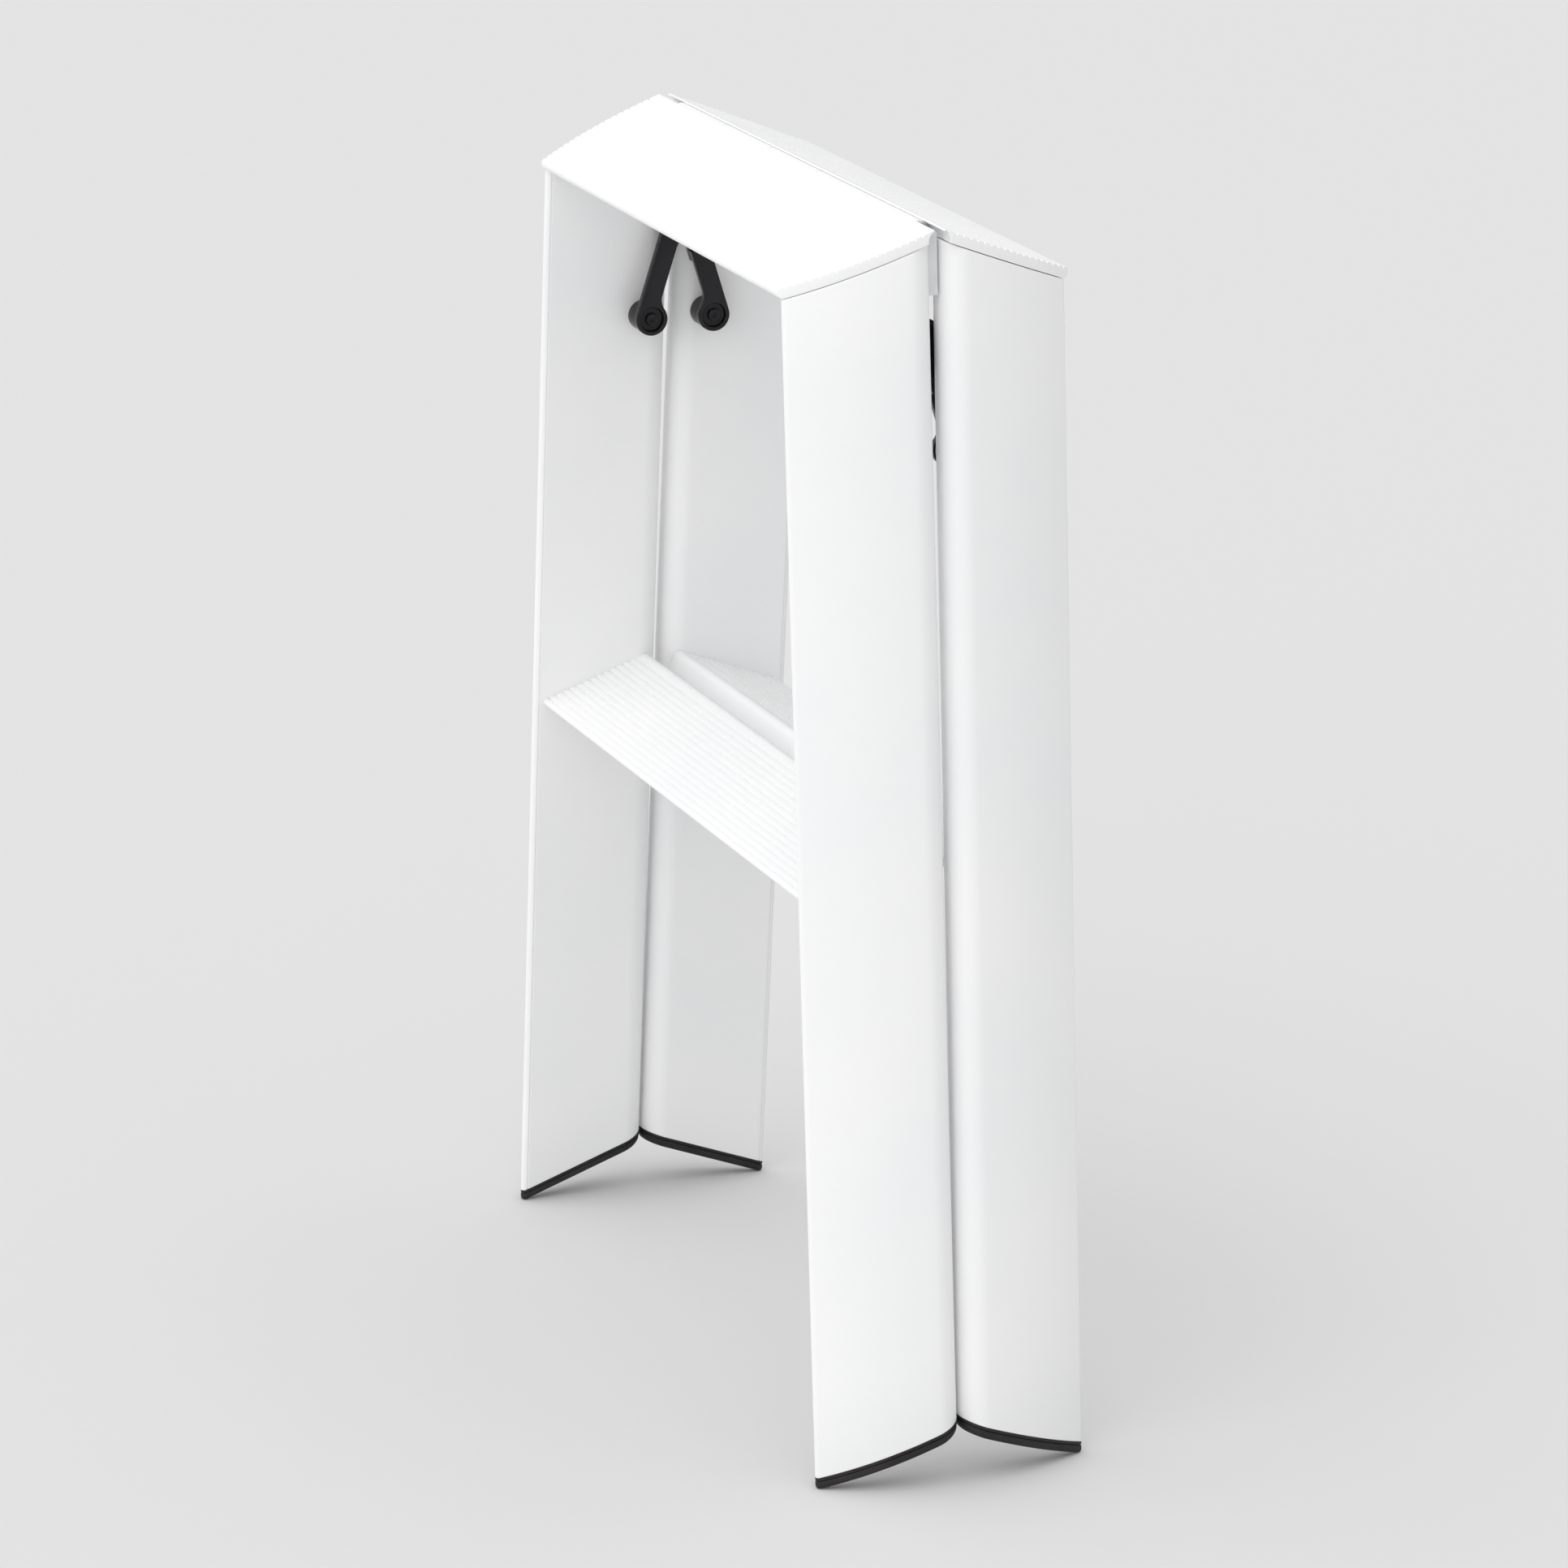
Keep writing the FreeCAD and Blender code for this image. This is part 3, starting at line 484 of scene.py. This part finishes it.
def tread_section():
    """Out along the top from the full round to the ridge, then round the
    scoop and back along the flat underside."""
    lip_s = plate_out - edge_round
    mid_n = PLATE_TOP - edge_round
    start_n = math.sqrt(SCOOP ** 2 - RIDGE_GAP ** 2)
    top = np.concatenate([
        arc((lip_s, mid_n), edge_round, 0, math.pi / 2, 10),
        ribbed(lip_s - 0.6 * MM, RIB_START, PLATE_TOP),
        [[1.0 * MM, PLATE_TOP], [0.75 * MM, PLATE_TOP - 0.05 * MM],
         [0.45 * MM, PLATE_TOP - 0.25 * MM], [RIDGE_GAP, PLATE_TOP - 0.6 * MM],
         [RIDGE_GAP, start_n]]])
    edge = arc((0, 0), SCOOP, math.acos(RIDGE_GAP / SCOOP), math.asin(PLATE_UNDER / SCOOP), 9)[1:]
    under = arc((lip_s, mid_n), edge_round, -math.pi / 2, 0, 10)[1:-1]
    count = len(top) - len(edge) - len(under)
    flat = even_line(edge[-1], (lip_s, PLATE_UNDER), count + 1)[1:]
    return np.concatenate([top, edge, flat, under])


def flush_x(y, z):
    """Half length at which a tread point meets the panel's bowed face."""
    return inner_x(z) + bow_p(-y - GAP)


def level_shell(section, end_x, edge, half=None):
    """A section in s and n carried across from one end to the other."""
    steps = [(i * edge, d * edge) for i, d in END_ROUND]
    steps = steps if steps[0][0] > steps[-1][0] else steps[::-1]
    rings = []
    for side in (-1, 1):
        for i, d in (steps if side < 0 else steps[::-1]):
            s, n = inset(section, i).T
            y, z = level_yz(s, n)
            x = (end_x(y, z) if half is None else half + 0 * y) - d
            rings.append(np.stack([side * x, y, z], axis=-1))
    points, faces = skin(np.stack(rings))
    return settle(points), faces


def bar_section(s0, s1, n0, n1, r):
    """Rectangle with rounded corners, out along the top and back below."""
    top = np.concatenate([arc((s1 - r, n1 - r), r, 0, math.pi / 2, 5),
                          arc((s0 + r, n1 - r), r, math.pi / 2, math.pi, 5)])
    low = np.concatenate([arc((s0 + r, n0 + r), r, math.pi, 1.5 * math.pi, 5),
                          arc((s1 - r, n0 + r), r, 1.5 * math.pi, 2 * math.pi, 5)])
    return np.concatenate([top, low])


plate = level_shell(tread_section(), flush_x, PLATE_EDGE)
bars = [level_shell(bar_section(s, s + BAR_WIDE, PLATE_UNDER - BAR_DEEP,
                                PLATE_UNDER + BAR_INTO, PLATE_EDGE),
                    None, 0.3 * MM, BAR_HALF) for s in (34.0 * MM, 66.0 * MM)]
for side, sy in (("front", 1), ("rear", -1)):
    make("tread_" + side, [mirrored(shell, 1, sy) for shell in [plate] + bars], white,
         side + "_frame", ["top_tread_" + side])

# %% [markdown]
# ## Middle steps
#
# Each step is a box extrusion with a large rounded nose on the hinge side
# and a thin lip on the outer side, ribbed between the two. It is cut to the
# flat inner faces of the panels.

# %% Step section and the two steps
STEP_THICK = 12.5 * MM
STEP_NOSE = 4.0 * MM
STEP_LIP = 1.6 * MM
STEP_BACK = 6.9 * MM             # inner edge, out from the panels' hinge edge
STEP_SHY = 4.8 * MM              # outer edge, in from the panels' nose
step_in = run_out(-GAP, STEP_TOP) + STEP_BACK
step_out = run_out(-(GAP + PANEL_WIDE), STEP_TOP) - STEP_SHY


def step_section():
    """Out along the ribbed top to the big nose, then down round the heel,
    along the base and up into the thin lip."""
    base = STEP_TOP - STEP_THICK
    lip = STEP_LIP
    top = np.concatenate([
        arc((step_out - lip, STEP_TOP - lip), lip, 0, math.pi / 2, 8),
        ribbed(step_out - lip - 1.2 * MM, step_in + STEP_NOSE + 1 * MM, STEP_TOP),
        [[step_in + STEP_NOSE + 0.4 * MM, STEP_TOP]],
        arc((step_in + STEP_NOSE, STEP_TOP - STEP_NOSE), STEP_NOSE, math.pi / 2, math.pi, 16)])
    heel = arc((step_in + lip, base + lip), lip, math.pi, 1.5 * math.pi, 8)
    root = step_out - 10 * MM
    thin = np.concatenate([[[root - 4.3 * MM, base + 0.06 * MM],
                            [root - 3.6 * MM, base + 0.9 * MM],
                            [root - 0.9 * MM, STEP_TOP - 4.2 * MM],
                            [root, STEP_TOP - 3.3 * MM],
                            [root + 0.9 * MM, STEP_TOP - 3.2 * MM]],
                           arc((step_out - lip, STEP_TOP - lip), lip, -math.pi / 2, 0, 8)[:-1]])
    count = len(top) - len(heel) - len(thin)
    flat = even_line(heel[-1], (root - 4.9 * MM, base), count + 1)[1:]
    return np.concatenate([top, heel, flat, thin])


def inner_end(y, z):
    """Half length of a step: it ends on the panels' flat inner faces."""
    return inner_x(z)


step = level_shell(step_section(), inner_end, 0.3 * MM)
for side, sy in (("front", 1), ("rear", -1)):
    make("step_" + side, [mirrored(step, 1, sy)], white, side + "_frame",
         ["middle_step_" + side])

# %% [markdown]
# ## Rubber feet
#
# The feet carry on the panel's section, with a fine groove round them and a
# rounded bottom edge. Their sole is level when the stool stands open, so
# folded it slopes, and the outer corner is cut level where it stands.

# %% The four feet
# inset and height above the sole: rounded edge, groove, top
FOOT_LEVELS = [(2.5, 0.0), (1.75, 0.16), (1.1, 0.5), (0.6, 1.0), (0.25, 1.6), (0.06, 2.2),
               (0.0, 2.8), (0.0, 3.8), (0.06, 4.05), (0.62, 4.2), (0.7, 4.4), (0.62, 4.6),
               (0.06, 4.8), (0.0, 5.0), (0.0, 5.9), (0.05, 6.0)]


def foot_shell():
    """The panel's section without its groove, one ring for each level, with
    what would lie under the floor raised to it."""
    section = closed(*panel_section(False))
    rings = [panel_ring(inset(section, i * MM), SOLE + d * MM) for i, d in FOOT_LEVELS]
    points, faces = skin(np.stack(rings))
    points = settle(points)
    points[:, 2] = np.maximum(points[:, 2], 0.0)
    return points, faces


foot = foot_shell()
for corner, (sx, sy) in CORNERS.items():
    make("foot_" + corner, [mirrored(foot, sx, sy)], rubber, frame_of(corner),
         ["foot_" + corner])

# %% [markdown]
# ## Links between the frames
#
# Each side has two flat black arms that turn on hubs and meet at a middle
# pin. The outer side of an arm's bar runs tangent to the hub ring, and its
# inner side joins the ring and the boss by hollow fillets, whose centres are
# found from their distances to the bar and to the circle. The hub is bored
# and has a sunk recess. The rear arm is cranked: its ring lies level with
# the front one's, and its boss a step nearer the panel, under the front boss.

# %% Arm outline
ARM_LONG = 58.0 * MM
ARM_THICK = 4.3 * MM
HUB_R = 8.7 * MM
BOSS_R = 12.0 * MM
BAR_IN = 1.8 * MM
FILLET = 9.0 * MM
CRANK = (31.0 * MM, 37.0 * MM)
HUB_COUNT = 42

fillet_out = BAR_IN + FILLET
hub_run = math.sqrt((HUB_R + FILLET) ** 2 - fillet_out ** 2)
boss_run = math.sqrt((BOSS_R + FILLET) ** 2 - fillet_out ** 2)


def hub_sides():
    """Both sides of the hub from its far tip to the end of the fillet."""
    turn = math.atan2(fillet_out, hub_run)
    circle = arc((0, 0), HUB_R, math.pi, turn, 30)
    fillet = arc((hub_run, fillet_out), FILLET, turn - math.pi, -math.pi / 2, 14)
    outer = arc((0, 0), HUB_R, math.pi, 1.5 * math.pi, 20)
    bar = np.linspace((0, -HUB_R), (hub_run, -HUB_R), 24)
    return np.concatenate([circle, fillet[1:]]), np.concatenate([outer, bar[1:]])


def boss_sides():
    """Both sides of the boss from the start of the fillet to its far tip."""
    turn = math.atan2(fillet_out, boss_run)
    corner = math.asin(HUB_R / BOSS_R)
    fillet = arc((ARM_LONG - boss_run, fillet_out), FILLET, -math.pi / 2, -turn, 14)
    circle = arc((ARM_LONG, 0), BOSS_R, math.pi - turn, 0, 34)
    meet = ARM_LONG - math.sqrt(BOSS_R ** 2 - HUB_R ** 2)
    bar = np.linspace((ARM_LONG - boss_run, -HUB_R), (meet, -HUB_R), 12)
    outer = arc((ARM_LONG, 0), BOSS_R, math.pi + corner, 2 * math.pi, 36)
    return np.concatenate([fillet, circle[1:]]), np.concatenate([bar, outer[1:]])


def square_end(run, start):
    """A cut end of the bar: side corner and middle, ordered along the arm."""
    middle = (run, (BAR_IN - HUB_R) / 2)
    ends = np.array([(run, BAR_IN), middle]), np.array([(run, -HUB_R), middle])
    return tuple(e[::-1] for e in ends) if start else ends


def bar_sides(run0, run1):
    """Both straight sides of the bar between two runs, ends left out."""
    runs = np.linspace(run0, run1, 10)[1:-1]
    return np.stack([runs, 0 * runs + BAR_IN], axis=-1), np.stack([runs, 0 * runs - HUB_R], axis=-1)


def outline(first, last):
    """Inner side from tip to tip, then the outer side back."""
    middle = bar_sides(first[0][-1][0], last[0][0][0])
    inner, outer = (np.concatenate([first[k], middle[k], last[k]]) for k in (0, 1))
    return np.concatenate([inner, outer[::-1][1:-1]])


front_line = outline(hub_sides(), boss_sides())
ring_line = outline(hub_sides(), square_end(CRANK[1], False))
boss_line = outline(square_end(CRANK[0], True), boss_sides())
crank_line = outline(square_end(CRANK[0], True), square_end(CRANK[1], False))
print("arm outlines", len(front_line), len(ring_line), len(boss_line), "points")


# %% Arm plates
def plate_rings(line, x0, x1, edge, place):
    """A closed outline given thickness along X, with rounded edges."""
    steps = [(i * edge, d * edge) for i, d in END_ROUND]
    steps = steps if steps[0][0] > steps[-1][0] else steps[::-1]
    rings = []
    for x, sign, order in ((x0, 1, steps), (x1, -1, steps[::-1])):
        for i, d in order:
            y, z = place(inset(line, i))
            rings.append(np.stack([x + sign * d + 0 * y, y, z], axis=-1))
    return np.stack(rings)


def drilled(line, rings, profile, x0, place):
    """Plate with a turned hole at the hub. The hole's rings have a point for
    each outline point round the hub, at nearly the same angle."""
    count, size = rings.shape[:2]
    near = np.concatenate([np.arange(size - 1 - HUB_COUNT, size), np.arange(HUB_COUNT + 1)])
    polar = np.unwrap(np.arctan2(line[near, 1], line[near, 0])[::-1])[::-1]
    middle = (polar[0] + polar[-1]) / 2
    polar = middle + (polar - middle) * (2 * math.pi - 0.1) / abs(polar[0] - polar[-1])
    hole = []
    for r, d in profile:
        y, z = place(np.stack([r * np.cos(polar), r * np.sin(polar)], axis=-1))
        hole.append(np.stack([x0 + d + 0 * y, y, z], axis=-1))
    hole = np.stack(hole)
    ids = np.arange(count * size).reshape(count, size)
    nxt = np.roll(ids, -1, axis=1)
    side = np.stack([ids[:-1], nxt[:-1], nxt[1:], ids[1:]], axis=-1).reshape(-1, 4)
    h = count * size + np.arange(hole.shape[0] * hole.shape[1]).reshape(hole.shape[:2])
    h_nxt = np.roll(h, -1, axis=1)
    bore = np.stack([h_nxt[:-1], h[:-1], h[1:], h_nxt[1:]], axis=-1).reshape(-1, 4)
    j = np.arange(HUB_COUNT, size // 2 - 1)
    far = size - 1 - j
    faces = [side, bore]
    for ring, circle, flip in ((ids[0], h[0], False), (ids[-1], h[-1], True)):
        a = ring[near]
        cap = np.concatenate([
            np.stack([a[1:], a[:-1], circle[:-1], circle[1:]], axis=-1),
            [[a[0], a[-1], circle[-1], circle[0]]],
            np.stack([ring[j + 1], ring[j], ring[far], ring[far - 1]], axis=-1)])
        faces.append(cap[:, ::-1] if flip else cap)
    return np.concatenate([rings.reshape(-1, 3), hole.reshape(-1, 3)]), np.concatenate(faces)


def arm_place(hub, joint):
    """Turns arm coordinates into Y and Z between a hub and a joint."""
    along = (np.array(joint) - np.array(hub)) / np.linalg.norm(np.array(joint) - np.array(hub))
    across = np.array([along[1], -along[0]])

    def place(q):
        return (hub[0] + q[:, 0] * along[0] + q[:, 1] * across[0],
                hub[1] + q[:, 0] * along[1] + q[:, 1] * across[1])
    return place


hub_pos = joints["link_front_right_turn"]["pos_m"]
hub_half, hub_z = -hub_pos[1], hub_pos[2]
joint_z = hub_z + math.sqrt(ARM_LONG ** 2 - hub_half ** 2)
place = arm_place((-hub_half, hub_z), (0.0, joint_z))
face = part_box("link_arm_front_right")[0][0]
back_face = face + ARM_THICK
under_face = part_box("link_arm_rear_right")[1][0]
EDGE = 0.6 * MM
CRANK_SHY = 0.05 * MM            # keeps the crank's block inside the two plates
CRANK_EDGE = 0.3 * MM
# radius and depth: mouth of the recess, its floor, then the bore
HOLE = np.array([[7.1, 0.0], [6.8, 0.08], [6.58, 0.25], [6.5, 0.55], [6.5, 2.2],
                 [6.35, 2.4], [5.15, 2.4], [5.05, 2.5], [5.05, 4.2], [5.15, 4.3]]) * MM


def hub_plate(line):
    """An arm plate at the hub's level, with the hub's turned hole."""
    return drilled(line, plate_rings(line, face, back_face, EDGE, place), HOLE, face, place)


front_arm = [hub_plate(front_line)]
rear_arm = [hub_plate(ring_line),
            skin(plate_rings(boss_line, under_face - ARM_THICK, under_face, EDGE, place)),
            skin(plate_rings(inset(crank_line, CRANK_SHY), face + EDGE, under_face - EDGE,
                             CRANK_EDGE, place))]
for side, sy, shells in (("front", 1, front_arm), ("rear", -1, rear_arm)):
    for hand, sx in (("right", 1), ("left", -1)):
        make("arm_%s_%s" % (side, hand), [mirrored(shell, sx, sy) for shell in shells], black,
             "link_%s_%s" % (side, hand), ["link_arm_%s_%s" % (side, hand)])

# %% [markdown]
# ## Hub studs, washers and pins
#
# Round parts are turned: a line of radii and depths is spun about the hub's
# axis. The stud has a broad base on the panel and a hollow socket in its
# tip, the washer holds the arm in the recess, and the pin has a low domed
# head.

# %% Studs, washers and pin heads
CENTRE = 0.02 * MM               # radius that stands for the middle of a disc
BASE_R = 8.2 * MM
PIN_R = 2.5 * MM
STUD_LINE = np.array([[0.02, 1.5], [1.2, 1.45], [1.4, 1.3], [1.45, 0.55], [1.6, 0.42],
                      [2.8, 0.4], [3.0, 0.46], [3.1, 0.65], [3.1, 2.0], [5.0, 2.05],
                      [5.0, 4.5], [5.05, 4.55], [7.7, 4.55], [8.0, 4.62], [8.15, 4.8],
                      [8.2, 5.1]]) * MM
WASHER_LINE = np.array([[3.12, 2.2], [3.12, 1.75], [3.25, 1.65], [4.3, 1.65], [4.5, 1.75],
                        [4.7, 1.65], [5.9, 1.65], [6.1, 1.7], [6.2, 1.85], [6.2, 2.1],
                        [6.1, 2.2]]) * MM
PIN_LINE = np.array([[0.02, 0.0], [2.0, 0.0], [3.6, 0.08], [4.7, 0.35], [5.1, 0.7],
                     [5.2, 1.1], [5.2, 1.6], [2.5, 1.65]]) * MM


def turned_ring(line, x0, centre, turns=72):
    """A closed line of radii and depths spun about X: a ring."""
    a = np.arange(turns) * 2 * math.pi / turns
    r, x = line[:, 0][:, None], x0 + line[:, 1][:, None] + 0 * a
    grid = np.stack([x, centre[0] + r * np.cos(a), centre[1] + r * np.sin(a)], axis=-1)
    ids = np.arange(len(line) * turns).reshape(len(line), turns)
    nxt = np.roll(ids, -1, axis=1)
    quads = np.stack([ids, nxt, np.roll(nxt, -1, axis=0), np.roll(ids, -1, axis=0)], axis=-1)
    return grid.reshape(-1, 3), quads.reshape(-1, 4)


def stud_shell():
    """The stud's line of radii, with its foot cut to the leaning panel. The
    foot's two rings are first put a metre out, which marks them."""
    marker = 1.0
    points, faces = lathe(np.append(STUD_LINE[:, 0], [BASE_R, CENTRE]),
                          np.append(face + STUD_LINE[:, 1], [marker, marker]),
                          (0.0, -hub_half, hub_z))
    foot = points[:, 0] > marker / 2
    points[foot, 0] = inner_x(points[foot, 2])
    return points, faces


stud = stud_shell()
washer = turned_ring(WASHER_LINE, face, (-hub_half, hub_z))
for side, sy in (("front", 1), ("rear", -1)):
    make("hub_stud_" + side, [mirrored(stud, sx, sy) for sx in (1, -1)], black, side + "_frame",
         ["link_stud_" + side])
    make("hub_washer_" + side, [mirrored(washer, sx, sy) for sx in (1, -1)], black, side + "_frame",
         ["link_washer_" + side])

low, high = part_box("link_pin_right")
pin = lathe(np.append(PIN_LINE[:, 0], [PIN_R, CENTRE]),
            np.append(low[0] + PIN_LINE[:, 1], [high[0], high[0]]), (0.0, 0.0, joint_z))
for hand, sx in (("right", 1), ("left", -1)):
    make("link_pin_" + hand, [mirrored(pin, sx, 1)], black_steel, "link_front_" + hand,
         ["link_pin_" + hand])

# %% [markdown]
# ## Floor, light and camera
#
# The floor is a wide pale sheet. A bright surrounding light keeps the white
# coat white; it is strongest in front and fades towards the back, which
# gives the bowed panels their gradient. A large soft panel overhead makes
# the treads the brightest faces, and a second one fills from the front.

# %% Floor
floor_mesh = bpy.data.meshes.new("floor")
FLOOR_REACH = 14.0
FLOOR_Z = -0.0004                # a hair under the soles, so no faces coincide
floor_mesh.from_pydata([(x * FLOOR_REACH, y * FLOOR_REACH, FLOOR_Z)
                        for x, y in ((-1, -1), (1, -1), (1, 1), (-1, 1))],
                       [], [(0, 1, 2, 3)])
floor = bpy.data.objects.new("floor", floor_mesh)
bpy.context.scene.collection.objects.link(floor)
floor_mat, _, floor_shader = new_material("pale_floor", (0.687, 0.687, 0.687), 0.9)
floor_shader.inputs["Specular IOR Level"].default_value = 0.1
floor_mesh.materials.append(floor_mat)

# %% Light
world = bpy.data.worlds.new("studio")
bpy.context.scene.world = world
world.use_nodes = True
sky = world.node_tree.nodes["Background"]
sky.inputs["Color"].default_value = (1, 1, 1, 1)
direction = world.node_tree.nodes.new("ShaderNodeTexCoord")
split = world.node_tree.nodes.new("ShaderNodeSeparateXYZ")
fade = world.node_tree.nodes.new("ShaderNodeMapRange")
for socket, value in (("From Min", -1.0), ("From Max", 1.0), ("To Min", 1.1), ("To Max", 0.36)):
    fade.inputs[socket].default_value = value
world.node_tree.links.new(direction.outputs["Generated"], split.inputs["Vector"])
world.node_tree.links.new(split.outputs["Y"], fade.inputs["Value"])
world.node_tree.links.new(fade.outputs["Result"], sky.inputs["Strength"])


def far_softbox(name, azimuth_deg, height_deg, strength, wide_deg):
    """A wide soft light far away, so the floor is lit evenly under it."""
    data = bpy.data.lights.new(name, "SUN")
    data.energy = strength * math.pi
    data.angle = math.radians(wide_deg)
    lamp = bpy.data.objects.new(name, data)
    bpy.context.scene.collection.objects.link(lamp)
    a, h = math.radians(azimuth_deg), math.radians(height_deg)
    towards = Vector((math.cos(a) * math.cos(h), math.sin(a) * math.cos(h), math.sin(h)))
    lamp.rotation_euler = towards.to_track_quat("Z", "Y").to_euler()
    return lamp


far_softbox("overhead", 0, 88, 0.33, 100)
far_softbox("key", -60, 30, 0.13, 60)
bpy.context.scene.view_settings.view_transform = "Standard"

# %% Camera
azimuth, elevation, roll = math.radians(68.79), math.radians(16.23), math.radians(0.38)
distance = 3.444
target = Vector((-0.0095, 0.0, 0.2914))
back = Vector((math.sin(azimuth) * math.cos(elevation),
               -math.cos(azimuth) * math.cos(elevation), math.sin(elevation)))
camera_data = bpy.data.cameras.new("camera")
camera_data.sensor_width = 36.0
camera_data.lens = 152.81
camera_data.clip_end = 100
camera = bpy.data.objects.new("camera", camera_data)
bpy.context.scene.collection.objects.link(camera)
right = (-back).cross(Vector((0, 0, 1))).normalized()
up = right.cross(-back)
right_rolled = math.cos(roll) * right + math.sin(roll) * up
up_rolled = -math.sin(roll) * right + math.cos(roll) * up
turn = [[right_rolled[k], up_rolled[k], back[k]] for k in range(3)]
place_at = target + back * distance
camera.matrix_world = Matrix([row + [v] for row, v in zip(turn, place_at)] + [[0, 0, 0, 1]])
bpy.context.scene.camera = camera
print("camera", [round(v, 3) for v in place_at])

# %% Sizes and finish
print("triangles", sum(2 * len(p.data.polygons) for p in pieces_made))
